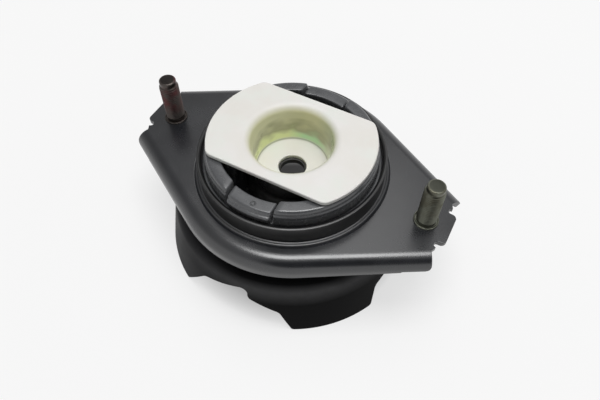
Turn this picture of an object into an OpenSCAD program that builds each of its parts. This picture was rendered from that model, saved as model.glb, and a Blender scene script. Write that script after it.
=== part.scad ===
// Strut mount. A two-stud flange pressing is welded onto a drawn spring seat, whose tower comes up
// through the flange's opening. A rubber insulator is bonded into the tower and carries the rod seat,
// and a two-flat stopper plate sits on the rod seat, just above the insulator's pads.
// Millimetres. Z runs up the strut rod, X runs to a stud, and z = 0 is the flange's top face.

/* [Flange] */
// Distance between the two mounting studs
stud_spacing = 145; // [138:0.5:152]
// Radius of the flange's round middle, which its straight sides run off at a tangent
flange_r = 60.2; // [58:0.2:62]
// Slope of the straight sides towards the ears
side_angle = 30; // [28:0.5:31]
// Distance from a stud to the end of its ear, without the tab
ear_margin = 9.5; // [7:0.5:12]
// Thickness of the flange sheet
flange_t = 2.8; // [2:0.1:3.5]
// Outer radius of the bend between the flange's face and its rim
flange_bend_r = 7; // [5:0.5:8]
// Depth of the rim round the flange's middle
rim_h = 10; // [9:0.2:12]
// How far the rims end short of the ears
rim_end_gap = 1.3; // [0.5:0.1:4]
// Depth of the rim at its ends
rim_end_h = 7.5; // [7:0.1:8]
// Height of the small step between the sloping rim and its end
rim_step = 0.7; // [0.3:0.1:1]
// Length of the rim's end beyond that step
rim_step_run = 14; // [8:0.5:20]
// Radius of the rim's lower corners
rim_corner_r = 3; // [1:0.5:5]
// Width of the tab at each end of the flange
ear_w = 18; // [16:0.5:20]
// How far the tab stands out past the flat face's end
ear_out = 3.3; // [2:0.1:6]
// Radius of the tab's corners
ear_corner_r = 2.5; // [1:0.5:4]
// Radius of the bend relief between tab and rim
relief_r = 1.6; // [1:0.1:2.2]
// Height of the raised edge round the flange's opening
lip_h = 0.8; // [0.5:0.1:1.5]
// Width of the raised edge round the flange's opening
lip_w = 1.5; // [1:0.1:2]

/* [Studs] */
// Thread diameter of the studs
stud_d = 10; // [8:1:12]
// Height of the studs above the flange
stud_h = 26.5; // [20:0.5:40]
// How much wider than the thread the pressed-in collar is
stud_collar_step = 0.5; // [0.3:0.05:1.5]
// Height of the collar above the flange
stud_collar_h = 1.4; // [1:0.1:3]
// Diameter of the head under the flange
stud_head_d = 17; // [15:0.5:20]
// Height of the head
stud_head_h = 2.8; // [2:0.1:4]
// Diameter of the plain pilot at the tip
pilot_d = 8.2; // [6.5:0.1:8.4]
// Height of the pilot
pilot_h = 2.6; // [2:0.1:5]

/* [Spring seat] */
// Thickness of the spring seat's sheet
seat_t = 2; // [1.6:0.1:2.6]
// Outer diameter of the tower
tower_d = 94.4; // [91:0.2:97]
// Height of the tower above the flange's face
tower_h = 11.3; // [9:0.1:13]
// Inner radius of the bend at the foot of the tower
tower_bend_r = 3; // [2:0.5:4]
// Gap between the flange's rim and the ledge of the seat below it
rim_gap = 3; // [2:0.2:5]
// How far the seat's shoulder stands outside the flange's round middle
seat_ledge = 1.6; // [0:0.2:3]
// Outer radius of the seat's shoulder
shoulder_r = 10; // [4:0.5:12]
// Depth of the tabs below the flange's face
seat_depth = 50; // [47:0.5:56]
// How much the skirt widens on each side from its shoulder to the tabs' lower edge
skirt_flare = 6.9; // [5:0.1:9]
// Width of the front and back arches at their mouth
arch_w = 64; // [58:1:68]
// Width of the side arches at their mouth
side_arch_w = 57.5; // [54:0.5:64]
// How much the front and back arches narrow on their stepped side from mouth to knee
arch_flare = 7; // [4:0.5:9]
// How much the right arch narrows on each side from mouth to knee
side_arch_flare = 4.5; // [3:0.5:9]
// Height of the arches above the tabs' lower edge
arch_h = 27; // [26:0.5:28]
// Height of the stepped side's knee above the tabs' lower edge
arch_knee_h = 14; // [11:0.5:15]
// Height of the foot of the step above the tabs' lower edge
arch_step_foot_h = 21; // [19:0.5:22]
// Distance of the step from the middle of an arch
arch_step_x = 9; // [7:0.5:11]
// Width of the short level stretch beside the step, at the top of an arch
arch_level_w = 4; // [4:0.5:8]
// How much an arch narrows on its plain side from its mouth to its bend
arch_plain_run = 15.5; // [12:0.5:18]
// Height of the plain side's bend above the tabs' lower edge
arch_plain_h = 19.2; // [16:0.2:22]

/* [Rubber insulator] */
// Inner diameter of the ring of pads
pad_inner_d = 72; // [62:0.5:76]
// Width of the groove between the pads and the tower
groove_w = 1.8; // [1:0.1:3]
// Depth of that groove below the tower's top edge
groove_h = 4.3; // [2:0.1:6]
// Free height between the pads and the stopper plate
pad_gap = 0.5; // [0.2:0.1:2]
// Width of the short pads at the front and back
short_pad_w = 22.4; // [18:0.2:30]
// How much lower the short pads are than the long ones
short_pad_drop = 2; // [0.5:0.1:3]
// Width of the slits between the pads
slit_w = 1.2; // [0.8:0.1:2.5]

/* [Rod seat] */
// Diameter of the hole for the strut rod
rod_hole_d = 12.5; // [10:0.1:14]
// Outer diameter of the rod seat
rod_seat_d = 48; // [42:0.5:54]
// Thickness of the rod seat's sheet
rod_seat_t = 3; // [2:0.1:4]
// Height of the rod seat
rod_seat_h = 21; // [17:0.5:24]
// Outer radius of the rod seat's bend
rod_bend_r = 5; // [4.5:0.5:7]

/* [Stopper plate] */
// Diameter of the stopper plate
stopper_d = 84; // [78:0.5:86]
// Width across its two flats
stopper_flats = 56; // [52:0.5:64]
// Thickness of its sheet
stopper_t = 2.4; // [1.8:0.1:3]
// Height of its top face above the flange
stopper_z = 20.7; // [19:0.1:24]
// Radius of its corners
stopper_corner_r = 5; // [2:0.5:8]
// Depth of its cup
cup_depth = 21.7; // [19:0.1:24]
// Diameter of the cup at its floor
cup_floor_d = 36.8; // [34:0.2:40]
// How much wider the cup is at its mouth
cup_draft = 4.4; // [2:0.2:6]
// Radius of the cup's rolled mouth
cup_mouth_r = 4.5; // [3.5:0.5:6]
// Radius inside the cup at its floor
cup_floor_r = 1.5; // [1:0.5:3]
// Diameter of the hole in its floor
cup_hole_d = 14.4; // [13:0.1:18]

/* [Hidden] */
$fn = 96;
// Angle covered by one flat step of a bend
bend_step = 15;
// Spare length that makes a cutting tool pass through
spare = 2;
// Clearance of a stud's collar in its hole
stud_fit = 0.05;
// Clearance between the insulator and the rod seat that travels in it
bond_gap = 0.2;

tower_r = tower_d / 2;
opening_r = tower_r;
flat_d = flange_r - flange_bend_r;
ear_x = stud_spacing / 2 + ear_margin;
rim_run = (ear_x - rim_end_gap - flat_d * sin(side_angle)) / cos(side_angle);

seat_r = flange_r + seat_ledge;
seat_top_z = -rim_h - rim_gap;
skirt_slope = skirt_flare / (seat_depth + seat_top_z);
seat_foot_r = seat_r + skirt_flare;
bore_r = tower_r - seat_t;

stud_r = stud_d / 2;
collar_r = stud_r + stud_collar_step;
stud_chamfer = 0.8;
neck_r = stud_r - 0.4;
neck_h = 1.2;
undercut_r = pilot_d / 2 - 0.5;
undercut_h = 0.9;

cup_floor_z = stopper_z - cup_depth;
stopper_r = stopper_d / 2;
rod_seat_z = cup_floor_z - stopper_t;
rod_seat_r = rod_seat_d / 2;
rod_seat_low_z = rod_seat_z - rod_seat_h;

pad_top_z = stopper_z - stopper_t - pad_gap;
pad_r = pad_inner_d / 2;
pad_outer_r = bore_r - groove_w;
pad_draft = 0.8;
groove_z = tower_h - groove_h;
short_pad_ledge_out = 1.1;
short_pad_ledge_h = 2.2;

function unit(v) = v / norm(v);
function left_of(u) = [-u[1], u[0]];
function place(p) = [p[0], p[1]];
function turned(v, a) = [v[0] * cos(a) - v[1] * sin(a), v[0] * sin(a) + v[1] * cos(a)];
function reversed(list) = [for (i = [len(list) - 1:-1:0]) list[i]];

// The corner at b between a and c, rounded to b's third value, on a line moved d to the left
function corner(a, b, c, d = 0) =
    let (
        u = unit(place(b) - place(a)),
        v = unit(place(c) - place(b)),
        side = cross(u, v) < 0 ? -1 : 1,
        turn = acos(max(-1, min(1, u * v))),
        r = len(b) > 2 ? b[2] : 0,
        centre = place(b) - u * r * tan(turn / 2) + left_of(u) * side * r,
        steps = r == 0 ? 1 : ceil(turn / bend_step),
        first = -side * left_of(u) * (r - side * d)
    )
    r == 0 ? [place(b)] : [for (i = [0:steps]) centre + turned(first, side * turn * i / steps)];

// A closed outline with each corner rounded to its third value
function rounded(p) =
    let (n = len(p))
    [for (i = [0:n - 1]) each corner(p[(i + n - 1) % n], p[i], p[(i + 1) % n])];

// One face of a pressed sheet, d to the left of the path of its outer face
function sheet_face(path, d) =
    let (
        n = len(path),
        first = unit(place(path[1]) - place(path[0])),
        last = unit(place(path[n - 1]) - place(path[n - 2]))
    )
    concat(
        [place(path[0]) + left_of(first) * d],
        [for (i = [1:n - 2]) each corner(path[i - 1], path[i], path[i + 1], d)],
        [place(path[n - 1]) + left_of(last) * d]
    );

// The section of a pressed sheet of thickness t to the right of a path
module sheet(path, t) polygon(concat(sheet_face(path, 0), reversed(sheet_face(path, -t))));

module mirrored_x() {
    children();
    mirror([1, 0, 0]) children();
}

module mirrored_y() {
    children();
    mirror([0, 1, 0]) children();
}

// Flange plate

// How far out a line parallel to the straight sides is at x, when it is d from the rod axis
function side_y(d, x) = (d - x * sin(side_angle)) / cos(side_angle);

// The point that is d from the rod axis and s along a straight side from the round middle
function side_point(d, s) =
    [d * sin(side_angle) + s * cos(side_angle), d * cos(side_angle) - s * sin(side_angle)];

module flange_section(depth) {
    sheet([
        [opening_r - spare, 0],
        [flange_r, 0, flange_bend_r],
        [flange_r, -depth]
    ], flange_t);
}

// A straight rim from the side: it grows shallower along its run, then steps up to its end
module rim_side_view() {
    step_s = rim_run - rim_step_run;
    polygon(rounded([
        [-spare, spare], [-spare, -rim_h], [0, -rim_h], [step_s, -rim_end_h - rim_step],
        [step_s, -rim_end_h], [rim_run, -rim_end_h, rim_corner_r], [rim_run, spare]
    ]));
}

module straight_rim() {
    reach = flange_r + spare;
    intersection() {
        rotate([90, 0, 0]) linear_extrude(rim_run + spare) flange_section(rim_h + spare);
        translate([reach, 0, 0]) rotate([90, 0, -90]) linear_extrude(reach) rim_side_view();
    }
}

// A quarter of the rims: half of the round middle, then a straight rim
module rim_quarter() {
    intersection() {
        rotate([0, 0, 90 - side_angle]) {
            rotate_extrude(angle = 2 * side_angle) flange_section(rim_h);
            straight_rim();
        }
        translate([0, 0, -ear_x]) cube(2 * ear_x);
    }
}

// The flat web of an ear, from the opening to the ear's end, lapping the rims on both sides
module ear_web() {
    root = side_point(opening_r - spare / 2, 2 * spare);
    end_y = side_y(flat_d - spare / 2, ear_x);
    polygon([[ear_x, end_y], root, [opening_r / 2, 0], [root[0], -root[1]], [ear_x, -end_y]]);
}

module ear_tab() {
    tip_x = ear_x + ear_out;
    half_w = ear_w / 2;
    root_x = ear_x - ear_w / 2;
    polygon(rounded([
        [root_x, -half_w], [tip_x, -half_w, ear_corner_r], [tip_x, half_w, ear_corner_r], [root_x, half_w]
    ]));
}

module opening_lip() {
    rotate_extrude() polygon(rounded([
        [opening_r - spare, -flange_t / 2], [opening_r + lip_w, -flange_t / 2],
        [opening_r + lip_w, lip_h, lip_h / 2], [opening_r - spare, lip_h]
    ]));
}

module flange_plate() {
    relief_y = ear_w / 2 + relief_r;
    color("#2d3033")
        difference() {
            union() {
                mirrored_x() mirrored_y() rim_quarter();
                mirrored_x()
                    translate([0, 0, -flange_t])
                        linear_extrude(flange_t) {
                            ear_web();
                            ear_tab();
                        }
                opening_lip();
            }
            translate([0, 0, -rim_h]) cylinder(r = opening_r, h = 2 * rim_h);
            mirrored_x()
                translate([stud_spacing / 2, 0, -rim_h]) cylinder(r = collar_r + stud_fit, h = 2 * rim_h);
            mirrored_x() mirrored_y()
                translate([ear_x, relief_y, -rim_h]) cylinder(r = relief_r, h = 2 * rim_h);
        }
}

// Mounting studs: head below the flange, collar pressed through it, thread and plain pilot above

module stud() {
    head_r = stud_head_d / 2;
    head_z = -flange_t - stud_head_h;
    thread_low_z = stud_collar_h + neck_h;
    pilot_z = stud_h - pilot_h;
    thread_high_z = pilot_z - undercut_h;
    pilot_r = pilot_d / 2;
    rotate_extrude() polygon([
        [0, head_z], [head_r - stud_chamfer, head_z], [head_r, head_z + stud_chamfer],
        [head_r, -flange_t], [collar_r, -flange_t], [collar_r, stud_collar_h],
        [neck_r, stud_collar_h], [neck_r, thread_low_z - stud_chamfer / 2], [stud_r, thread_low_z],
        [stud_r, thread_high_z - stud_chamfer], [undercut_r, thread_high_z], [undercut_r, pilot_z],
        [pilot_r, pilot_z], [pilot_r, stud_h - stud_chamfer], [pilot_r - stud_chamfer, stud_h], [0, stud_h]
    ]);
}

module mounting_studs() {
    color("#6b6a5c") mirrored_x() translate([stud_spacing / 2, 0, 0]) stud();
}

// Spring seat: tower, flat ring for the top of the spring, shoulder and a skirt cut into four tabs

// A side of an arch with a step, a sloping shoulder and a flare, and all below the tab beside it
function stepped_side(half_w, flare) =
    let (low_z = -seat_depth, reach = seat_foot_r + spare)
    [
        [arch_step_x, low_z + arch_h, 3],
        [arch_step_x, low_z + arch_step_foot_h, 3],
        [half_w - flare, low_z + arch_knee_h, 5],
        [half_w, low_z, 2.5],
        [reach, low_z, 0],
        [reach, low_z - 2 * spare, 0]
    ];

// A side of an arch with one wide bend, which meets the arch's top at top_x
function plain_side(half_w, top_x) =
    let (low_z = -seat_depth, reach = seat_foot_r + spare)
    [
        [top_x, low_z + arch_h, 3],
        [half_w - arch_plain_run, low_z + arch_plain_h, 10],
        [half_w, low_z, 2.5],
        [reach, low_z, 0],
        [reach, low_z - 2 * spare, 0]
    ];

// The space that an arch leaves open, from its right and left sides as seen from outside
module arch(right, left) {
    polygon(rounded(concat(right, reversed([for (p = left) [-p[0], p[1], p[2]]]))));
}

// An arch through the skirt's front, from just behind the rod axis outwards
module arch_tool() {
    translate([0, spare, 0]) rotate([90, 0, 0]) linear_extrude(seat_foot_r + 2 * spare) children();
}

module spring_seat() {
    front_right = stepped_side(arch_w / 2, arch_flare);
    front_left = plain_side(arch_w / 2, arch_level_w - arch_step_x);
    right_side = stepped_side(side_arch_w / 2, side_arch_flare);
    left_side = plain_side(side_arch_w / 2, arch_level_w / 2);
    color("#232527")
        difference() {
            rotate_extrude() sheet([
                [tower_r, tower_h],
                [tower_r, seat_top_z, tower_bend_r],
                [seat_r, seat_top_z, shoulder_r],
                [seat_foot_r + skirt_slope * spare, -seat_depth - spare]
            ], seat_t);
            mirrored_y() arch_tool() arch(front_right, front_left);
            rotate([0, 0, 90]) arch_tool() arch(right_side, right_side);
            rotate([0, 0, -90]) arch_tool() arch(left_side, left_side);
        }
}

// Rubber insulator: a web between tower and rod seat, and a ring of pads under the stopper plate

module insulator_section() {
    inner_r = rod_seat_r + bond_gap;
    inner_top_z = rod_seat_z - rod_bend_r - bond_gap;
    inner_low_z = rod_seat_low_z + spare;
    outer_low_z = seat_top_z + tower_bend_r;
    web_r = (inner_r + pad_r) / 2;
    polygon(rounded([
        [inner_r, inner_low_z], [web_r, inner_low_z, 4], [bore_r - 4, outer_low_z - 2, 3],
        [bore_r, outer_low_z], [bore_r, groove_z, 0.5], [pad_outer_r, groove_z, 0.5],
        [pad_outer_r - pad_draft, pad_top_z, 1], [pad_r, pad_top_z, 0.8],
        [pad_r, inner_top_z + rod_bend_r, 4], [web_r, inner_top_z, 4], [inner_r, inner_top_z]
    ]));
}

// The ledge in front of a short pad, just above the tower's edge
module short_pad_ledge() {
    low_z = tower_h + bond_gap;
    high_z = low_z + short_pad_ledge_h;
    ledge_r = pad_outer_r + short_pad_ledge_out;
    intersection() {
        rotate_extrude() polygon(rounded([
            [pad_r + spare, low_z], [ledge_r, low_z, 0.6], [ledge_r, high_z, 0.9], [pad_r + spare, high_z]
        ]));
        cube([short_pad_w, 2 * tower_d, 2 * tower_d], center = true);
    }
}

module rubber_insulator() {
    slit_x = (short_pad_w + slit_w) / 2;
    slit_z = groove_z + spare;
    color("#3c3e40")
        union() {
            difference() {
                rotate_extrude() insulator_section();
                mirrored_x()
                    translate([slit_x - slit_w / 2, -tower_r, slit_z]) cube([slit_w, tower_d, tower_d]);
                translate([-slit_x, -tower_r, pad_top_z - short_pad_drop])
                    cube([2 * slit_x, tower_d, tower_d]);
            }
            short_pad_ledge();
        }
}

// Rod seat: an inverted cup that the strut rod is bolted through

module rod_seat() {
    color("#4a4c4e")
        rotate_extrude() sheet([
            [rod_hole_d / 2, rod_seat_z],
            [rod_seat_r, rod_seat_z, rod_bend_r],
            [rod_seat_r, rod_seat_low_z]
        ], rod_seat_t);
}

// Stopper plate: a round plate with two flats and a deep cup that stands on the rod seat

// A quarter of the plate's outline, from its round end to the middle of its flat side
function stopper_quarter() =
    let (
        corner_y = stopper_flats / 2 - stopper_corner_r,
        corner_x = sqrt(pow(stopper_r - stopper_corner_r, 2) - pow(corner_y, 2)),
        meet = atan2(corner_y, corner_x),
        round_steps = ceil(meet / 4),
        corner_steps = ceil((90 - meet) / bend_step)
    )
    concat(
        [for (i = [1:round_steps]) stopper_r * turned([1, 0], meet * i / round_steps)],
        [for (i = [1:corner_steps]) let (a = meet + (90 - meet) * i / corner_steps)
            [corner_x, corner_y] + stopper_corner_r * turned([1, 0], a)]
    );

module stopper_outline() {
    quarter = stopper_quarter();
    upper = concat([[stopper_r, 0]], quarter, reversed([for (p = quarter) [-p[0], p[1]]]));
    polygon(concat(upper, [for (p = upper) -p]));
}

module stopper_plate() {
    color("#dcdcd2")
        intersection() {
            rotate_extrude() sheet([
                [cup_hole_d / 2, cup_floor_z],
                [cup_floor_d / 2, cup_floor_z, cup_floor_r],
                [(cup_floor_d + cup_draft) / 2, stopper_z, cup_mouth_r],
                [stopper_r + spare, stopper_z]
            ], stopper_t);
            translate([0, 0, -seat_depth]) linear_extrude(2 * seat_depth) stopper_outline();
        }
}

flange_plate();
mounting_studs();
spring_seat();
rubber_insulator();
rod_seat();
stopper_plate();
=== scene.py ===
import math
from collections import Counter

import bmesh
import bpy
from mathutils import Matrix, Vector


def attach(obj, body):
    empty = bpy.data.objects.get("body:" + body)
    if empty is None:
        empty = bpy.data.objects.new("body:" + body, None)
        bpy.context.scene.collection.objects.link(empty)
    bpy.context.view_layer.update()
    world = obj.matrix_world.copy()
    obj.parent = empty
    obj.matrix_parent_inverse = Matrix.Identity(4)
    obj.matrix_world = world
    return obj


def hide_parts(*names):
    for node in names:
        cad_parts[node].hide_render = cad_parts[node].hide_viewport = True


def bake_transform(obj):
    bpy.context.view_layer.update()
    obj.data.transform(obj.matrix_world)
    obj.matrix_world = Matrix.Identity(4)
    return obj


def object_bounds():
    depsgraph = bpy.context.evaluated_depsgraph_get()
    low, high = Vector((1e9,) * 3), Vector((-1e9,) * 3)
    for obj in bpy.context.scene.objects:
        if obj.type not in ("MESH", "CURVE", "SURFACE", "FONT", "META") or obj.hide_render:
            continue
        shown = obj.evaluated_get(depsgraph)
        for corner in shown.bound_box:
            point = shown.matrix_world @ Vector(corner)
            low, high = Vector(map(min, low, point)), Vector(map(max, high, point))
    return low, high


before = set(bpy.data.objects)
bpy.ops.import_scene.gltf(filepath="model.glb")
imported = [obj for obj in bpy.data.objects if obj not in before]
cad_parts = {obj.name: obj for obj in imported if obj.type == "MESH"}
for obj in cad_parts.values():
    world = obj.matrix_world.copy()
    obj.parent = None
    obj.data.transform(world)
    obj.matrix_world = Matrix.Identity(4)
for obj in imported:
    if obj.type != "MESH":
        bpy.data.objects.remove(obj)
cad_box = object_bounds()


# Spring seat: a deep-drawn steel dish, dip-coated black. Its tower carries everything else, the flat
# ring takes the spring's top coil, and four arches cut the flared skirt into the tabs it stands on.

MM = 0.001
seat_t = 2.0
tower_r, tower_top, tower_bend = 47.2, 11.3, 3.0
edge_roll, edge_drop = 0.25, 0.16
bore_r = tower_r - seat_t
ring_z = -13.0
shoulder_r, shoulder_bend = 61.8, 10.0
crown_low = -21.9
skirt_foot_r, foot_z = 68.7, -50.0
skirt_slope = (skirt_foot_r - shoulder_r) / (ring_z - foot_z)
skirt_wall = seat_t * math.hypot(1, skirt_slope)
front_half, side_half = 32.0, 28.75
front_flare, side_flare = 7.0, 4.5
arch_top, knee_z, knee_bend = -23.0, -36.0, 5.0
step_x, step_foot, step_bend = 9.0, -29.0, 3.0
plain_run, plain_z, plain_bend = 15.5, -30.8, 10.0
level_w, level_split = 4.0, 0.75
tab_bend = 2.5


def bent(path, per_bend=9, per_line=1):
    """The points of a path (x, z, bend radius), with each bend drawn as an arc and each line in parts."""
    points = [Vector(path[0][:2])]

    def line_to(q):
        points.extend([points[-1].lerp(q, i / per_line) for i in range(1, per_line)] + [q])

    for before, here, after in zip(path, path[1:], path[2:]):
        p = Vector(here[:2])
        u = (p - Vector(before[:2])).normalized()
        v = (Vector(after[:2]) - p).normalized()
        radius = here[2] if len(here) > 2 else 0
        turn = u.angle_signed(v) * -1
        if radius == 0:
            line_to(p)
            continue
        left = Vector((-u.y, u.x)) * math.copysign(1, turn)
        centre = p - u * radius * math.tan(abs(turn) / 2) + left * radius
        line_to(centre - left * radius)
        for i in range(1, per_bend + 1):
            points.append(centre + Matrix.Rotation(turn * i / per_bend, 2) @ (left * -radius))
    line_to(Vector(path[-1][:2]))
    return points


def skirt_r(z):
    """The skirt's outer radius at a height."""
    return shoulder_r + skirt_slope * (ring_z - z)


def arch_side(start, corners, top_corners):
    """One side of an arch as (angle from the arch's middle, height) points, from start outwards: the
    crown's edge to the middle of its last corner, the side from there, and half of the tab's corner."""
    arc_parts, line_parts, foot_run = 4, 6, 10
    edge = bent([(start, arch_top), *corners, (corners[-1][0] + foot_run, foot_z)], arc_parts, line_parts)
    level = max(1, round(edge[line_parts].x - start))
    edge = [edge[0].lerp(edge[line_parts], i / level) for i in range(level)] + edge[line_parts:]
    edge = [Vector((math.asin(p.x / skirt_r(p.y)), p.y)) for p in edge]
    per_corner = arc_parts + line_parts
    top_end = level + arc_parts // 2 + (top_corners - 1) * per_corner
    side_end = top_end + (len(corners) - top_corners) * per_corner
    return edge[:top_end + 1], edge[top_end:side_end + 1], edge[side_end:side_end + arc_parts // 2 + 1]


def stepped_side(half, flare, start):
    """The side of an arch with a step below its level stretch and a knee lower down."""
    return arch_side(start, [
        (step_x, arch_top, step_bend), (step_x, step_foot, step_bend),
        (half - flare, knee_z, knee_bend), (half, foot_z, tab_bend),
    ], 1)


def plain_side(half, top_x, start):
    """The side of an arch with a single bend."""
    return arch_side(start, [
        (top_x, arch_top, step_bend), (half - plain_run, plain_z, plain_bend), (half, foot_z, tab_bend),
    ], 2)


def flipped(points, about=0.0):
    """Points on the other side of a direction."""
    return [Vector((about - p.x, p.y)) for p in points]


def tab_grid(side_a, corner_a, side_b, corner_b):
    """The rows of a tab, from one arch's side to the next one's, as (angle, height) points."""
    columns = 24
    side_b, corner_b = (flipped(points, math.pi / 2) for points in (side_b, corner_b))
    corner_b.reverse()
    foot = corner_a + [corner_a[-1].lerp(corner_b[0], i / columns) for i in range(1, columns)] + corner_b
    shares = [(p.x - foot[0].x) / (foot[-1].x - foot[0].x) for p in foot]
    dips = [p.y - foot[0].lerp(foot[-1], share).y for share, p in zip(shares, foot)]
    rows = []
    for a, b in zip(side_a, side_b):
        sunk = (a.y - side_a[0].y) / (side_a[-1].y - side_a[0].y)
        rows.append([a.lerp(b, share) + Vector((0, sunk * dip)) for share, dip in zip(shares, dips)])
    return rows


crown = bent([
    (tower_r - 0.5, tower_top), (tower_r - 0.35, tower_top, 0.3),
    (tower_r + edge_roll, tower_top - edge_drop, 0.25), (tower_r, ring_z, tower_bend),
    (shoulder_r, ring_z, shoulder_bend), (skirt_r(crown_low), crown_low),
], per_line=2)
crown_back = bent([
    (tower_r - 0.53, tower_top), (tower_r - 0.8, tower_top, 0.4), (bore_r, tower_top - 0.6, 0.8),
    (bore_r, ring_z - seat_t, tower_bend + seat_t),
    (skirt_r(ring_z - seat_t) - skirt_wall, ring_z - seat_t, shoulder_bend - seat_t),
    (skirt_r(crown_low) - skirt_wall, crown_low),
], per_line=2)
seat_front, seat_back, seat_faces = [], [], []


def on_seat(angle, outer, inner):
    """Adds a point of the sheet's outer face and the one behind it, and returns their number."""
    for points, q in ((seat_front, outer), (seat_back, inner)):
        points.append((q.x * math.cos(angle), q.x * math.sin(angle), q.y))
    return len(seat_front) - 1


def on_skirt(angle, z):
    """Adds a point of the skirt."""
    return on_seat(angle, Vector((skirt_r(z), z)), Vector((skirt_r(z) - skirt_wall, z)))


def add_quads(columns):
    """Adds the quads between neighbouring columns of point numbers."""
    for a, b in zip(columns, columns[1:]):
        seat_faces.extend(zip(a, a[1:], b[1:], b))


# The arches in turn from the front, each as its side before and its side after the middle.
split_x = step_x - level_w + level_split
front_step = stepped_side(front_half, front_flare, split_x)
front_plain = plain_side(front_half, level_w - step_x, -split_x)
side_step = stepped_side(side_half, side_flare, 0)
side_plain = plain_side(side_half, level_w / 2, 0)
arches = [
    (front_plain, front_step), (side_step, side_step), (front_step, front_plain), (side_plain, side_plain),
]
crown_columns, tabs = [], []
for number, ((before, after), (beyond, _)) in enumerate(zip(arches, arches[1:] + arches[:1])):
    facing = (number - 1) * math.pi / 2
    top_edge = flipped(before[0])[:0:-1] + after[0]
    grid = tab_grid(*after[1:], *beyond[1:])
    tabs.append((facing, grid, len(crown_columns) + len(top_edge) - 1))
    for p in top_edge + grid[0][1:-1]:
        column = [on_seat(facing + p.x, outer, inner) for outer, inner in zip(crown, crown_back)]
        crown_columns.append(column + [on_skirt(facing + p.x, p.y)])
add_quads(crown_columns + crown_columns[:1])
for facing, grid, start in tabs:
    top_row = [crown_columns[(start + i) % len(crown_columns)][-1] for i in range(len(grid[0]))]
    add_quads([top_row] + [[on_skirt(facing + p.x, p.y) for p in row] for row in grid[1:]])


def piece_from(name, verts, faces):
    """A smooth-shaded mesh piece, given in millimetres, with its faces turned outwards."""
    shape = bmesh.new()
    points = [shape.verts.new(Vector(v) * MM) for v in verts]
    for face in faces:
        shape.faces.new([points[i] for i in face]).smooth = True
    bmesh.ops.recalc_face_normals(shape, faces=shape.faces)
    mesh = bpy.data.meshes.new(name)
    shape.to_mesh(mesh)
    shape.free()
    piece = bpy.data.objects.new(name, mesh)
    bpy.context.scene.collection.objects.link(piece)
    return piece


def sheet_piece(name, front, back, faces):
    """A sheet from its front points, the points behind them and its front faces, walled at its edges."""
    count = len(front)
    edges = [edge for face in faces for edge in zip(face, face[1:] + face[:1])]
    uses = Counter(frozenset(edge) for edge in edges)
    walls = [(a, b, b + count, a + count) for a, b in edges if uses[frozenset((a, b))] == 1]
    back_faces = [[i + count for i in face] for face in faces]
    return piece_from(name, front + back, faces + back_faces + walls)


def round_edges(piece, width):
    """Rounds every sharp edge."""
    bevel = piece.modifiers.new("edges", "BEVEL")
    bevel.width = width * MM
    bevel.segments = 3
    bevel.limit_method = "ANGLE"
    bevel.angle_limit = math.radians(40)
    bevel.use_clamp_overlap = False
    bevel.harden_normals = True


class Nodes:
    """Short calls that build the nodes of a tree."""

    def __init__(self, tree):
        self.tree = tree

    def add(self, kind, links=(), **settings):
        """A node with its settings, and with each named socket linked or set to a value."""
        node = self.tree.nodes.new(kind)
        for setting, value in settings.items():
            setattr(node, setting, value)
        for socket, value in dict(links).items():
            if isinstance(value, bpy.types.NodeSocket):
                self.tree.links.new(value, node.inputs[socket])
            else:
                node.inputs[socket].default_value = value
        return node

    def spread(self, value, low, high, to_low=0.0, to_high=1.0):
        """A value's range low to high, mapped to another range."""
        return self.add("ShaderNodeMapRange", {
            "Value": value, "From Min": low, "From Max": high, "To Min": to_low, "To Max": to_high,
        }).outputs["Result"]

    def math(self, operation, a, b=0.0):
        """The result of an operation on one or two values."""
        return self.add("ShaderNodeMath", {0: a, 1: b}, operation=operation).outputs[0]


class Shader(Nodes):
    """A principled material and the calls that fill it, in object space and millimetres."""

    def __init__(self, name, constants):
        self.material = bpy.data.materials.new(name)
        self.material.use_nodes = True
        super().__init__(self.material.node_tree)
        self.surface = self.tree.nodes["Principled BSDF"]
        for socket, value in constants.items():
            self.surface.inputs[socket].default_value = value
        self.place = self.add("ShaderNodeTexCoord").outputs["Object"]
        parts = self.add("ShaderNodeSeparateXYZ", {0: self.place}).outputs
        flat = self.add("ShaderNodeCombineXYZ", {"X": parts["X"], "Y": parts["Y"]}).outputs[0]
        from_axis = self.add("ShaderNodeVectorMath", {0: flat}, operation="LENGTH").outputs["Value"]
        self.across = self.math("MULTIPLY", parts["X"], 1 / MM)
        self.height = self.math("MULTIPLY", parts["Z"], 1 / MM)
        self.radius = self.math("MULTIPLY", from_axis, 1 / MM)

    def noise(self, size, detail=4.0, rough=0.55, stretch=(1, 1, 1)):
        """Noise with features about size millimetres across."""
        at = self.add("ShaderNodeMapping", {"Vector": self.place, "Scale": stretch}).outputs["Vector"]
        return self.add("ShaderNodeTexNoise", {
            "Vector": at, "Scale": 1 / (size * MM), "Detail": detail, "Roughness": rough,
        }).outputs["Fac"]

    def mix(self, share, a, b):
        """Colour a, or b where share is 1."""
        a, b = (c if isinstance(c, bpy.types.NodeSocket) else (*c, 1) for c in (a, b))
        return self.add("ShaderNodeMix", {0: share, 6: a, 7: b}, data_type="RGBA").outputs[2]

    def set(self, socket, value):
        """Links a value to the surface."""
        self.tree.links.new(value, self.surface.inputs[socket])

    def bump(self, *layers):
        """Stacks bumps, each a height and its depth in millimetres."""
        normal = None
        for height, depth in layers:
            links = {"Height": height, "Strength": 1.0, "Distance": depth * MM}
            if normal:
                links["Normal"] = normal
            normal = self.add("ShaderNodeBump", links).outputs["Normal"]
        self.set("Normal", normal)


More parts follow.
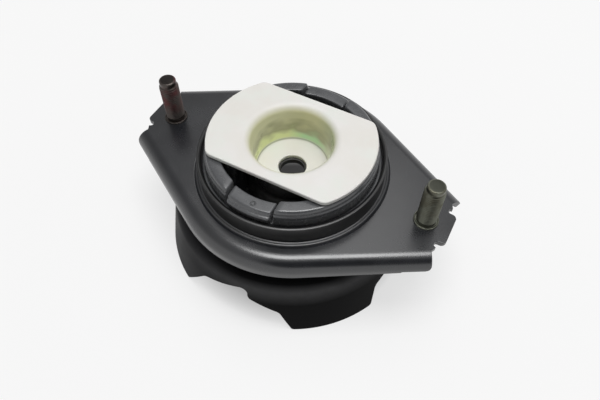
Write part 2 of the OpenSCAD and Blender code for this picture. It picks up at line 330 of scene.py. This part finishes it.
def black_coat(name, tone, rough, gloss):
    """Satin dip coat: fine orange peel, cloudy gloss and a few specks of pale dust."""
    s = Shader(name, {"Specular IOR Level": gloss})
    cloud = s.noise(26, 5)
    grain = s.noise(0.8, 2)
    cells = s.add("ShaderNodeTexVoronoi", {"Vector": s.place, "Scale": 1 / (9 * MM)}).outputs["Distance"]
    specks = s.math("MULTIPLY", s.spread(cells, 0.022, 0.035, 1, 0), s.spread(s.noise(14, 2), 0.52, 0.58))
    paint = s.mix(s.spread(cloud, 0.35, 0.65), [c * 0.8 for c in tone], [c * 1.2 for c in tone])
    s.set("Base Color", s.mix(specks, paint, (0.3, 0.3, 0.3)))
    uneven = s.math("ADD", cloud, s.math("MULTIPLY", grain, 0.3))
    s.set("Roughness", s.spread(uneven, 0.4, 0.9, rough - 0.05, rough + 0.07))
    s.bump((s.noise(34, 2), 0.05), (grain, 0.0006))
    return s


def paint_seat_light(s, shoulder_highlight_tone, left_light_tone):
    """Paints light into a coat: a painted highlight round the seat's shoulder in one tone, and painted light
    down its left side in another.
    """
    lower_fade, upper_fade, left_fade = (-30, -21.5), (-16, -20), (-32, 4)
    # The shoulder band is a painted highlight and the lighter left side is painted light.
    band = s.math("MULTIPLY", s.spread(s.height, *lower_fade), s.spread(s.height, *upper_fade))
    highlight_band = s.math("MULTIPLY", band, s.spread(s.noise(7, 4), 0.3, 0.7, 0.8, 1))
    left = s.spread(s.across, *left_fade, 1, 0)
    coat_colour = s.surface.inputs["Base Color"].links[0].from_socket
    s.set("Base Color", s.mix(left, s.mix(highlight_band, coat_colour, shoulder_highlight_tone), left_light_tone))


seat = sheet_piece("spring_seat_dish", seat_front, seat_back, seat_faces)
round_edges(seat, 0.4)
seat_black = 0.004, 0.004, 0.0042
tower_coat = black_coat("tower_dip_coat", seat_black, 0.35, 0.8)
dish_coat = black_coat("dish_dip_coat", seat_black, 0.45, 0.03)
# Painted highlight on the dish's shoulder and painted light down its left side, over the plain coat.
paint_seat_light(dish_coat, (0.085, 0.085, 0.087), (0.022, 0.022, 0.0235))
for coat in (tower_coat, dish_coat):
    seat.data.materials.append(coat.material)
dish_z = (ring_z + 3) * MM
for face in seat.data.polygons:
    face.material_index = int(face.center.z < dish_z)
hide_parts("spring_seat")
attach(seat, "shell")


# Flange: one steel pressing, dip-coated black. It is pressed over the tower and welded to it, and its
# rim is turned down all round except at the ears' ends, which have a tab between two relief notches.

flange_t, bend_r = 2.8, 7.0
flange_r, side_angle = 60.2, math.radians(30)
flat_d = flange_r - bend_r
rim_depth, rim_slope_depth, rim_end_depth, rim_step_run, rim_corner = 10.0, 8.2, 7.5, 14.0, 3.0
stud_x, ear_margin, rim_end_gap = 72.5, 9.5, 1.3
ear_x = stud_x + ear_margin
rim_run = (ear_x - rim_end_gap - flat_d * math.sin(side_angle)) / math.cos(side_angle)
step_s, rim_step_w, corner_s = rim_run - rim_step_run, 0.6, rim_run - rim_corner
ear_half, ear_out, ear_corner, relief_r = 9.0, 3.3, 2.5, 1.6
tip_x = ear_x + ear_out
lip_h, lip_r, lip_low, lip_foot = 0.8, 49.3, -1.4, -0.3
lip_in, lip_out = tower_r + 0.05, lip_r + 0.15


def rim_depth_at(s):
    """The rim's depth s along a straight side: it slopes, steps up and ends in a round corner."""
    if s <= step_s:
        depth = rim_depth + (rim_slope_depth - rim_depth) * s / step_s
    else:
        depth = rim_slope_depth + (rim_end_depth - rim_slope_depth) * min(1, (s - step_s) / rim_step_w)
    into = s - corner_s
    return depth - (rim_corner - math.sqrt(max(0, rim_corner ** 2 - into ** 2)) if into > 0 else 0)


def rim_point(depth, share):
    """Offset and height at a share of the way over the bend and down the rim."""
    last = math.acos(max(0, 1 - depth / bend_r))
    along = share * (bend_r * last + max(0, depth - bend_r))
    if along <= bend_r * math.pi / 2:
        a = along / bend_r
        return Vector((bend_r * math.sin(a), bend_r * (math.cos(a) - 1)))
    return Vector((bend_r, -bend_r - (along - bend_r * math.pi / 2)))


def mitre(before, here, after):
    """The way outwards at a corner of an edge, as long as keeps an offset edge parallel."""
    sides = [Vector((a.y - b.y, b.x - a.x)).normalized() for a, b in ((before, here), (here, after))]
    middle = (sides[0] + sides[1]).normalized()
    return middle / middle.dot(sides[0])


def arc(centre, radius, start, end, parts):
    """The points of an arc from one angle to another."""
    angles = [start + (end - start) * i / parts for i in range(parts + 1)]
    return [Vector(centre) + radius * Vector((math.cos(a), math.sin(a))) for a in angles]


# Stations of a quarter of the outline, from the middle of a long side to the tip of an ear: place at
# the start of the bend, direction outwards, and the rim's depth there or None on a plain edge.
upright = math.pi / 2
round_ways = arc((0, 0), 1, upright, upright - side_angle, 15)
stations = [(out * flat_d, out, rim_depth) for out in round_ways[:-1]]
out = Vector((math.sin(side_angle), math.cos(side_angle)))
along_side = Vector((out.y, -out.x))
runs = [step_s * i / 30 for i in range(31)]
runs += [step_s + rim_step_w + (corner_s - step_s - rim_step_w) * i / 7 for i in range(8)]
runs += [corner_s + rim_corner * share for share in (0.25, 0.45, 0.62, 0.77, 1)]
stations += [(out * flat_d + along_side * s, out, rim_depth_at(s)) for s in runs]
ear_edge = [stations[-1][0]]
ear_edge += arc((ear_x, ear_half + relief_r), relief_r, upright, upright + math.pi, 8)
ear_edge += arc((tip_x - ear_corner, ear_half - ear_corner), ear_corner, upright, 0, 8)
ear_edge += [Vector((tip_x, y)) for y in (4, 2, 0)]
for before, here, after in zip(ear_edge, ear_edge[1:], ear_edge[2:]):
    stations.append((here, mitre(before, here, after), None))


def turned_over(station, sx, sy):
    """A station mirrored across one or both of the flange's middle planes."""
    p, n, depth = station
    return Vector((p.x * sx, p.y * sy)), Vector((n.x * sx, n.y * sy)), depth


def behind(points, t):
    """The points t to the right of a section's points: the back face of a sheet."""
    back = []
    for i, p in enumerate(points):
        near = points[max(i - 1, 0):i + 2]
        sides = [Vector((b.y - a.y, a.x - b.x)).normalized() for a, b in zip(near, near[1:])]
        middle = (sides[0] + sides[-1]).normalized()
        back.append(p + middle * t / middle.dot(sides[0]))
    return back


tip = Vector((tip_x, 0)), Vector((1, 0)), None
right_half = stations + [tip] + [turned_over(q, 1, -1) for q in reversed(stations)]
outline = right_half + [turned_over(q, -1, 1) for q in reversed(right_half[1:-1])]
opening = (
    (lip_in, lip_foot), (lip_out, lip_foot), (lip_r + 0.35, -0.22), (lip_r + 0.75, 0), (lip_r + 1.1, 0),
)
flat_shares = (0.2, 0.6, 0.85)
rim_shares = [i / 16 for i in range(1, 15)] + [1]
plain_guard, rim_guard = 0.4, 0.3
verts, faces, skins = [], [], []
for p, n, depth in outline:
    way = p.normalized()
    inner = way * opening[-1][0]
    guard = p - n * (plain_guard if depth is None else rim_guard)
    top = [(*(way * r), z) for r, z in opening] + [(*inner.lerp(guard, share), 0) for share in flat_shares]
    top += [(*guard, 0), (*p, 0)]
    under = [(x, y, -flange_t) for x, y, z in top]
    if depth is not None:
        rim = [Vector((-1, 0)), Vector((0, 0))] + [rim_point(depth, share) for share in rim_shares]
        top += [(*(p + n * q.x), q.y) for q in rim[2:]]
        under += [(*(p + n * q.x), q.y) for q in behind(rim, flange_t)[2:]]
    start, rows = len(verts), len(top)
    verts += top + under
    skins.append(([start + r for r in range(rows)], [start + rows + r for r in range(rows)]))
for (top_a, under_a), (top_b, under_b) in zip(skins, skins[1:] + skins[:1]):
    rows = min(len(top_a), len(top_b))
    edge_a = top_a[:rows] + under_a[:rows][::-1]
    edge_b = top_b[:rows] + under_b[:rows][::-1]
    for r in range(2 * rows):
        n = (r + 1) % (2 * rows)
        faces.append((edge_a[r], edge_a[n], edge_b[n], edge_b[r]))
    for top, under in ((top_a, under_a), (top_b, under_b)):
        if len(top) > rows:
            faces.append(top[rows - 1:] + under[rows - 1:][::-1])
flange = piece_from("flange_pressing", verts, faces)
round_edges(flange, 0.35)

# The raised edge round the opening: a ridge against the tower, a fine line and a second ridge.
lip_section = bent([
    (lip_in, lip_low), (lip_in, lip_h + 0.28, 0.15), (lip_in + 0.8, lip_h, 0.2),
    (lip_in + 0.95, lip_h - 0.25, 0.1), (lip_in + 1.1, lip_h - 0.27, 0.1),
    (lip_in + 1.25, lip_h - 0.02, 0.15), (lip_r - 0.2, lip_h - 0.2, 0.3),
    (lip_out, lip_foot, 0.1), (lip_out, lip_low), (lip_in, lip_low),
], 5)[:-1]


def ring_faces(rows, columns, closed=True):
    """The quads between neighbouring columns, each column being a closed ring of rows points."""
    faces = []
    for c in range(columns if closed else columns - 1):
        here, there = c * rows, (c + 1) % columns * rows
        faces += [(here + r, here + (r + 1) % rows, there + (r + 1) % rows, there + r) for r in range(rows)]
    return faces


def revolved(name, section, columns):
    """A piece turned about the Z axis from a closed section of (radius, height) points."""
    turns = [2 * math.pi * c / columns for c in range(columns)]
    verts = [(p.x * math.cos(a), p.x * math.sin(a), p.y) for a in turns for p in section]
    return piece_from(name, verts, ring_faces(len(section), columns))


lip = revolved("flange_opening_edge", lip_section, 160)
flange_black = 0.010, 0.0108, 0.0135
flange_coat = black_coat("flange_dip_coat", flange_black, 0.24, 1.0)
lip_coat = black_coat("opening_edge_dip_coat", flange_black, 0.38, 1.0)
for part, coat in ((flange, flange_coat), (lip, lip_coat)):
    part.data.materials.append(coat.material)
    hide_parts("flange_plate")
    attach(part, "shell")


# Studs: two rolled steel screws, dull plated, pressed up through the ears from below. Each has a flat
# head, a collar in the ear with a ring round its top, a fine thread, and a plain tip above a groove.

stud_r, stud_h, pitch = 5.0, 26.5, 1.25
collar_r, ring_r, ring_h, recess_z = 5.5, 6.1, 0.9, 0.15
head_r, head_h, head_fit = 8.5, 2.8, 0.02
pilot_r, pilot_h, groove_r, groove_h = 4.3, 2.6, 3.9, 0.6
neck_r, thread_low, thread_high = stud_r - 0.4, 2.2, stud_h - pilot_h - groove_h
thread_depth, flank, crest = 0.4 * pitch, 2.7, 0.2
taper_h, taper_slope = 0.9, 0.9


def thread_r(z, share):
    """The thread's radius at a height, a share of the way round: it fades in, and tapers at its end."""
    phase = (z / pitch - share) % 1
    cut = min(1, max(0, abs(phase - 0.5) * flank - crest))
    fade = min(1, (z - thread_low) / pitch, (thread_high - z) / pitch + 0.15)
    taper = max(0, z - thread_high + taper_h)
    return stud_r - thread_depth * cut * fade - taper * taper_slope


def stud_mesh(name):
    """Head, collar, thread and pilot tip in one skin: only the thread's rows wind round the axis."""
    head_low, head_top = -flange_t - head_h, -flange_t - head_fit
    pilot_low = stud_h - pilot_h
    low = bent([
        (1, head_low), (head_r, head_low, 0.6), (head_r, head_top, 0.2), (collar_r, head_top),
        (collar_r, -0.1), (ring_r, -0.1), (ring_r, ring_h, 0.3), (ring_r - 0.55, ring_h, 0.2),
        (ring_r - 0.6, recess_z, 0.1), (neck_r, recess_z, 0.1), (neck_r, thread_low - 0.3),
    ], 4)
    high = bent([
        (groove_r, thread_high + 0.1), (groove_r, pilot_low, 0.25), (pilot_r, pilot_low, 0.2),
        (pilot_r, stud_h, 0.7), (1, stud_h),
    ], 5)
    columns, per_turn = 56, 10
    rows = round((thread_high - thread_low) / pitch * per_turn)
    heights = [thread_low + (thread_high - thread_low) * i / rows for i in range(rows + 1)]
    verts = []
    for c in range(columns):
        share = c / columns
        turn = 2 * math.pi * share
        section = low + [Vector((thread_r(z, share), z)) for z in heights] + high
        verts += [(p.x * math.cos(turn), p.x * math.sin(turn), p.y) for p in section]
    count = len(section)
    faces = []
    for c in range(columns):
        here, there = c * count, (c + 1) % columns * count
        faces += [(here + r, here + r + 1, there + r + 1, there + r) for r in range(count - 1)]
    faces += [[c * count + r for c in range(columns)] for r in (0, count - 1)]
    return piece_from(name, verts, faces)


def away_from(s, point):
    """How far a place on the surface is from a point, in millimetres."""
    at = [c * MM for c in point]
    metres = s.add("ShaderNodeVectorMath", {0: s.place, 1: at}, operation="DISTANCE").outputs["Value"]
    return s.math("MULTIPLY", metres, 1 / MM)


def stud_plating(name, x, tint, warm):
    """Dull plating on rolled steel, with warmer patches on its upper half and a darker end face."""
    s = Shader(name, {"Metallic": 0.9})
    patch = s.math("MULTIPLY", s.spread(s.noise(5, 4), 0.38, 0.6), s.spread(s.height, 5, 13))
    end_face = s.spread(away_from(s, (x, 0, stud_h)), 3.3, 3.6, 1, 0)
    s.set("Base Color", s.mix(end_face, s.mix(patch, tint, warm), [c * 0.41 for c in tint]))
    s.set("Roughness", s.spread(s.noise(4, 3), 0.3, 0.7, 0.3, 0.42))
    s.bump((s.noise(0.7, 2), 0.004))
    return s.material


for name, x, tint, warm in (
    ("stud_right", stud_x, (0.15, 0.155, 0.125), (0.10, 0.097, 0.072)),
    ("stud_left", -stud_x, (0.085, 0.074, 0.068), (0.10, 0.042, 0.042)),
):
    stud = stud_mesh(name)
    stud.data.transform(Matrix.Translation((x * MM, 0, 0)))
    stud.data.materials.append(stud_plating(name + "_plating", x, tint, warm))
    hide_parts("mounting_studs")
    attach(stud, "shell")


# Rubber insulator: black rubber moulded and bonded into the tower and round the rod seat. Its upper
# face is a ring of four pads with slits between them; the front and back pads are lower, with a ledge.

rod_seat_r, rod_seat_top, rod_seat_low = 24.0, -3.4, -24.4
bond_r, body_low = rod_seat_r + 0.2, rod_seat_low + 2
pad_in, pad_out, pad_top, pad_foot = 36.0, 43.4, 17.8, 8.0
pad_draft, pad_shoulder, pad_end = 0.8, 1.6, 0.75
slit_x, slit_w, short_drop = 11.8, 1.2, 2.0
ledge_low, ledge_high, ledge_out = tower_top + 0.4, tower_top + 2.2, 1.1
groove_z = 7.0
web_r, web_top, web_bend = (rod_seat_r + pad_in) / 2, rod_seat_top - 5, 4.0
gate, gate_r = (1.5, -39.8, 15.8), 1.1

body_section = bent([
    (bond_r, body_low), (web_r, body_low, web_bend), (bore_r - 4, ring_z + 1, 3), (bore_r, ring_z + 3),
    (bore_r, groove_z, 0.6), (pad_out, groove_z, 0.6), (pad_out - 0.1, pad_foot + 1, 0.4),
    (pad_in, pad_foot + 1, 0.8), (pad_in, web_top + 5, web_bend), (web_r, web_top, web_bend),
    (bond_r, web_top), (bond_r, body_low),
], 6)[:-1]
body = revolved("insulator_body", body_section, 120)


def pad(name, facing, top, half_angle, ledge):
    """A pad of the ring, centred on the direction facing. half_angle(radius, inset) ends it on a plane
    beside a slit, and each end is rounded by sections that shrink towards it."""
    section = [(pad_in, pad_foot), (pad_out, pad_foot)]
    if ledge:
        section += [(pad_out, ledge_low, 0.3), (pad_out + ledge_out, ledge_low, 0.5),
                    (pad_out + ledge_out, ledge_high, 0.9), (pad_out - 0.2, ledge_high + 0.4, 0.4)]
    else:
        section += [(pad_out - 0.2, top - 3.0, 0.3), (pad_out - 0.75, top - 2.7, 0.3)]
    section += [(pad_out - pad_draft, top, pad_shoulder), (pad_in, top, 0.7), (pad_in, pad_foot)]
    ring = bent(section, 6)[:-1]
    middle = sum(ring, Vector((0, 0))) / len(ring)
    ends = ((0, 0.75), (0.12, 0.45), (0.35, 0.18), (pad_end, 0))
    columns = [(inset, shrink, -1) for inset, shrink in ends]
    columns += [(pad_end, 0, i / 20 - 1) for i in range(1, 40)]
    columns += [(inset, shrink, 1) for inset, shrink in reversed(ends)]
    verts = []
    for inset, shrink, share in columns:
        for p in ring:
            q = p - (p - middle).normalized() * shrink
            a = facing + share * half_angle(q.x, inset)
            verts.append((q.x * math.cos(a), q.x * math.sin(a), q.y))
    rows = len(ring)
    faces = ring_faces(rows, len(columns), closed=False)
    faces += [range(rows), range(len(verts) - rows, len(verts))]
    return piece_from(name, verts, faces)


def short_half(radius, inset):
    """Half the angle of a short pad."""
    return math.asin((slit_x - slit_w / 2 - inset) / radius)


def long_half(radius, inset):
    """Half the angle of a long pad."""
    return math.acos((slit_x + slit_w / 2 + inset) / radius)


def moulded_rubber():
    """Smooth black rubber with a pale bloom, faint flow marks, fine grain and the ring of its gate."""
    s = Shader("moulded_rubber", {"Specular IOR Level": 0.8, "Sheen Weight": 0.12, "Sheen Roughness": 0.5})
    bloom = s.spread(s.noise(9, 6, 0.6), 0.35, 0.7)
    s.set("Base Color", s.mix(bloom, (0.054, 0.056, 0.060), (0.083, 0.086, 0.091)))
    s.set("Roughness", s.spread(s.noise(3, 4), 0.3, 0.7, 0.18, 0.32))
    from_ring = s.math("ABSOLUTE", s.math("SUBTRACT", away_from(s, gate), gate_r))
    s.bump((s.spread(from_ring, 0.1, 0.4), 0.5), (s.noise(6, 3), 0.04), (s.noise(0.45, 2), 0.002))
    return s.material


pads = [
    pad("pad_right", 0, pad_top, long_half, False),
    pad("pad_back", math.pi / 2, pad_top - short_drop, short_half, True),
    pad("pad_left", math.pi, pad_top, long_half, False),
    pad("pad_front", -math.pi / 2, pad_top - short_drop, short_half, True),
]
rubber = moulded_rubber()
for part in [body] + pads:
    part.data.materials.append(rubber)
    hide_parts("rubber_insulator")
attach(body, "shell")
for part in pads:
    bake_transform(part)


# Rod seat: a thick drawn steel cup, phosphated dark, held in the rubber with its open side down. The
# strut's rod comes up through the hole in its crown.

rod_seat_t, rod_hole_r, rod_bend, rod_inner_bend = 3.0, 6.25, 5.0, 2.0
hollow_r, hollow_top = rod_seat_r - rod_seat_t, rod_seat_top - rod_seat_t
rod_section = bent([
    (rod_hole_r, rod_seat_top), (rod_seat_r, rod_seat_top, rod_bend), (rod_seat_r, rod_seat_low),
    (hollow_r, rod_seat_low), (hollow_r, hollow_top, rod_inner_bend), (rod_hole_r, hollow_top),
    (rod_hole_r, rod_seat_top),
], 8)[:-1]


def phosphated_steel():
    """Dark, cloudy phosphate on steel, with a fine tooth."""
    s = Shader("phosphated_steel", {"Metallic": 0.6})
    s.set("Base Color", s.mix(s.spread(s.noise(4, 5), 0.35, 0.7), (0.05, 0.05, 0.05), (0.10, 0.10, 0.095)))
    s.set("Roughness", s.spread(s.noise(2, 4), 0.3, 0.7, 0.42, 0.6))
    s.bump((s.noise(0.6, 3), 0.01))
    return s.material


rod_seat = revolved("rod_seat_cup", rod_section, 96)
round_edges(rod_seat, 0.4)
rod_seat.data.materials.append(phosphated_steel())
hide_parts("rod_seat")
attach(rod_seat, "core")


# Stopper plate: one bright plated pressing that stands on the rod seat. Its deep cup takes the rod's
# nut, and its round rim, cut off straight at front and back, stops on the rubber pads.

stopper_r, stopper_flat, stopper_t, stopper_top = 42.0, 28.0, 2.4, 20.7
stopper_corner, cup_floor_z = 5.0, -1.0
cup_hole_r, cup_floor_r, cup_mouth_r, flat_from_r = 7.2, 18.4, 20.6, 28.0
cup_floor_bend, cup_mouth_bend = 1.5, 4.5

corner_y = stopper_flat - stopper_corner
corner_x = math.sqrt((stopper_r - stopper_corner) ** 2 - corner_y ** 2)
meet = math.atan2(corner_y, corner_x)
quarter = arc((0, 0), stopper_r, 0, meet, 24)[:-1]
quarter += arc((corner_x, corner_y), stopper_corner, meet, math.pi / 2, 12)
quarter += [Vector((corner_x * (1 - i / 14), stopper_flat)) for i in range(1, 14)]
back_half = quarter + [Vector((0, stopper_flat))] + [Vector((-p.x, p.y)) for p in reversed(quarter)]
plate_edge = back_half + [Vector((p.x, -p.y)) for p in reversed(back_half[1:-1])]
cup = bent([
    (cup_hole_r, cup_floor_z), (cup_floor_r, cup_floor_z, cup_floor_bend),
    (cup_mouth_r, stopper_top, cup_mouth_bend), (flat_from_r, stopper_top),
], 12)[:-1]
floor_shares = (0.3, 0.7)
plate_shares = (0.25, 0.6, 1)
cup_face = cup[:1] + [cup[0].lerp(cup[1], share) for share in floor_shares] + cup[1:]
cup_back = behind(cup_face, stopper_t)
verts = []
for p in plate_edge:
    way = p.normalized()
    rim_places = [(way * cup_face[-1].x).lerp(p, share) for share in plate_shares]
    top = [(*(way * q.x), q.y) for q in cup_face] + [(*q, stopper_top) for q in rim_places]
    under = [(*(way * q.x), q.y) for q in cup_back] + [(*q, stopper_top - stopper_t) for q in rim_places]
    verts += top + under[::-1]
plate = piece_from("stopper_plate_cup", verts, ring_faces(2 * len(top), len(plate_edge)))
round_edges(plate, 0.6)


def bright_plating():
    """Pale zinc plating, stained yellow, green and olive inside the cup, with a painted highlight in the
    stain, painted shade in the cup's floor corner, and painted shade on the cup's outside.
    """
    s = Shader("bright_plating", {"Metallic": 0.05})
    pale = s.mix(s.spread(s.noise(30, 4), 0.35, 0.65), (0.76, 0.74, 0.695), (0.80, 0.785, 0.765))
    pale = s.mix(s.spread(s.noise(18, 3), 0.5, 0.68), pale, (0.765, 0.78, 0.735))

    # The stain runs from left to right in two bands, the lower one brighter, with a dark drift between. The
    # lower band's whitish right end is a painted highlight.
    low = s.mix(s.spread(s.across, -11, -3), (0.84, 0.90, 0.46), (0.54, 0.80, 0.47))
    low = s.mix(s.spread(s.across, 5, 14), low, (0.76, 0.80, 0.60))
    high = s.mix(s.spread(s.across, -16, -4), (0.74, 0.73, 0.48), (0.68, 0.66, 0.40))
    high = s.mix(s.spread(s.across, 3, 15), high, (0.52, 0.55, 0.36))
    drift = s.math("ADD", s.height, s.spread(s.noise(11, 1.5, 0.5, (1, 1, 1.8)), 0.3, 0.7, -3.2, 3.2))
    stain = s.mix(s.spread(drift, 3.5, 8.5), low, (0.44, 0.44, 0.26))
    stain = s.mix(s.spread(drift, 8, 13), stain, high)

    # Inside the cup is between its floor and its mouth, short of the plate's rim.
    in_cup = s.math("MULTIPLY", s.spread(s.height, 20.5, 17.8), s.spread(s.height, -0.8, 1.2))
    in_cup = s.math("MULTIPLY", in_cup, s.spread(s.radius, 26, 27, 1, 0))
    # Painted shade: a dark line where the cup's floor turns up into its wall.
    floor_line = s.math("ABSOLUTE", s.math("SUBTRACT", s.height, -0.2))
    bright = s.mix(s.spread(floor_line, 0.15, 0.5, 0.6, 0), s.mix(in_cup, pale, stain), (0.25, 0.26, 0.2))
    # Painted shade: the cup's outside, in the dark under the plate, is coloured near black.
    past_wall = s.math("SUBTRACT", s.radius, s.math("MULTIPLY", s.height, 0.1))
    outside = s.math("MULTIPLY", s.spread(past_wall, 19.4, 20.0), s.spread(s.height, 18.0, 16.0))
    s.set("Base Color", s.mix(outside, bright, (0.05, 0.047, 0.045)))

    satin = s.spread(s.noise(12, 5), 0.3, 0.7, 0.52, 0.64)
    s.set("Roughness", s.math("SUBTRACT", satin, s.math("MULTIPLY", in_cup, 0.28)))
    s.bump((s.noise(20, 2), 0.03), (s.noise(0.5, 2), 0.004))
    return s.material


plate.data.materials.append(bright_plating())
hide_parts("stopper_plate")
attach(plate, "core")


# Studio: a pale floor under the tabs, a bright surround with two dimmer patches, a soft box overhead,
# a weaker one behind, and the photo's camera. The floor is dimmer where the object stands over it.

floor_half, floor_tone = 3000, 0.3
shade_lift, floor_lift, far_lift = 0.04, 0.67, 0.15


def seen_directly(nodes):
    """1 for camera, glossy and transmission rays, which show the backdrop, and 0 for its light."""
    rays = nodes.add("ShaderNodeLightPath").outputs
    shown = nodes.math("ADD", rays["Is Camera Ray"], rays["Is Glossy Ray"])
    return nodes.math("MINIMUM", nodes.math("ADD", shown, rays["Is Transmission Ray"]), 1)


def pale_floor():
    """A matt pale floor that is seen almost white, and keeps the object's shadow."""
    s = Shader("pale_floor", {
        "Roughness": 1.0, "Specular IOR Level": 0.0, "Base Color": (floor_tone, floor_tone, floor_tone, 1),
        "Emission Color": (1, 1, 1, 1),
    })
    # Painted shade: under the object the lift falls to shade_lift, darkening the floor there beyond its own
    # shadow.
    near = s.spread(s.radius, 40, 66, shade_lift, floor_lift)
    lift = s.math("ADD", near, s.spread(s.radius, 150, 1200, 0, far_lift))
    s.set("Emission Strength", s.math("MULTIPLY", seen_directly(s), lift))
    return s.material


floor_z = cad_box[0][2] / MM
floor_corners = [(x * floor_half, y * floor_half, floor_z) for x, y in ((-1, -1), (1, -1), (1, 1), (-1, 1))]
floor = piece_from("floor", floor_corners, [range(4)])
floor.data.materials.append(pale_floor())

world = bpy.data.worlds.new("studio")
world.use_nodes = True
bpy.context.scene.world = world
sky = Nodes(world.node_tree)
ray = sky.add("ShaderNodeTexCoord").outputs["Generated"]
ray_height = sky.add("ShaderNodeSeparateXYZ", {0: ray}).outputs["Z"]
even_light, horizon_tone, overhead_tone = 0.34, 0.93, 0.5


def dimmed(shown, direction, edge, middle, tone):
    """A surround with a soft patch of a tone in one direction, between two cosines from it."""
    facing = sky.add("ShaderNodeVectorMath", {0: ray, 1: direction}, operation="DOT_PRODUCT").outputs["Value"]
    return sky.math("MULTIPLY", shown, sky.spread(facing, edge, middle, 1, tone))


shown = sky.spread(ray_height, 0.25, 0.6, horizon_tone, overhead_tone)
shown = dimmed(shown, (0.42, -0.67, 0.62), 0.88, 0.94, 0.1)
shown = dimmed(shown, (-0.93, 0.2, 0.3), 0.7, 0.92, 0.55)
backdrop = sky.math("MULTIPLY", seen_directly(sky), sky.math("SUBTRACT", shown, even_light))
surround = world.node_tree.nodes["Background"].inputs
surround["Color"].default_value = (1, 1, 1, 1)
world.node_tree.links.new(sky.math("ADD", backdrop, even_light), surround["Strength"])


def soft_box(name, place, size, power):
    """A rectangular area light aimed at the object, in metres and watts."""
    lamp = bpy.data.lights.new(name, "AREA")
    lamp.shape = "RECTANGLE"
    lamp.size, lamp.size_y = size
    lamp.energy = power
    box = bpy.data.objects.new(name, lamp)
    box.location = place
    box.rotation_euler = (-Vector(place)).to_track_quat("-Z", "Y").to_euler()
    bpy.context.scene.collection.objects.link(box)


soft_box("overhead", (0.04, 0.02, 0.8), (0.36, 0.5), 4.0)
soft_box("behind", (-0.2, 0.5, 1.0), (0.5, 0.5), 0.9)

eye = Vector((87.16, -156.15, 216.96)) * MM
forward = Vector((-0.2735, 0.5165, -0.8114)).normalized()
roll = math.radians(-0.12)
side = Matrix.Rotation(roll, 3, forward) @ forward.cross(Vector((0, 0, 1))).normalized()
up = side.cross(forward)
camera = bpy.data.objects.new("camera", bpy.data.cameras.new("camera"))
camera.data.sensor_width = 36
camera.data.lens = 32.77
camera.data.clip_start = 0.01
camera.matrix_world = Matrix.Translation(eye) @ Matrix((side, up, -forward)).transposed().to_4x4()
bpy.context.scene.collection.objects.link(camera)
bpy.context.scene.camera = camera
bpy.context.scene.view_settings.view_transform = "Standard"
